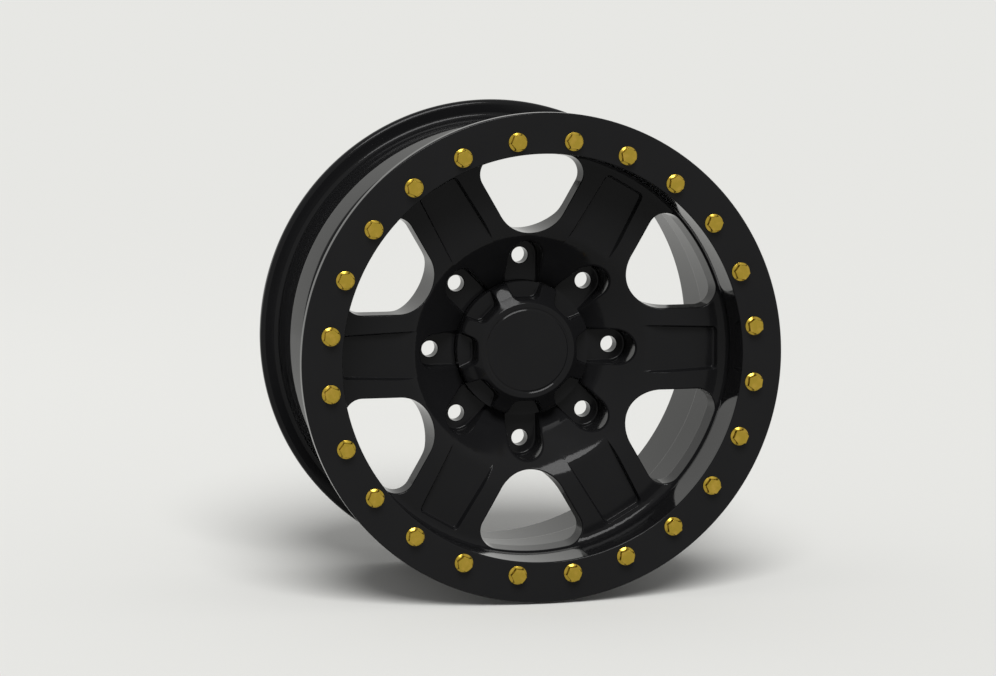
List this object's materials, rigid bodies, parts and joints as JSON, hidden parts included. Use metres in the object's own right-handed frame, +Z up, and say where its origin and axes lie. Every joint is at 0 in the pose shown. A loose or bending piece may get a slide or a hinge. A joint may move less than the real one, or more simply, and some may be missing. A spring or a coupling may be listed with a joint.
{
  "type": "beadlock wheel",
  "caption": "Cast off-road wheel with a bolted outer clamp ring that locks the tyre bead, deep spoked centre, lug pockets and a notched centre cap.",
  "frame": {"origin": "centre of the hub's mounting face, on the wheel's axis", "axes": "+Y along the axle towards the vehicle, -Y outboard towards the clamp ring, +Z up"},
  "size_m": [0.4715, 0.2576, 0.4716],
  "materials": {
    "wheel_coat": "satin black powder coat",
    "ring_coat": "satin black powder coat",
    "bolt_zinc": "yellow zinc plating",
    "cap_coat": "satin black"
  },
  "bodies": {
    "root": {"wheel_casting": "wheel_coat", "beadlock_ring": "ring_coat", "ring_bolts": "bolt_zinc", "centre_cap": "cap_coat"}
  },
  "joints": []
}
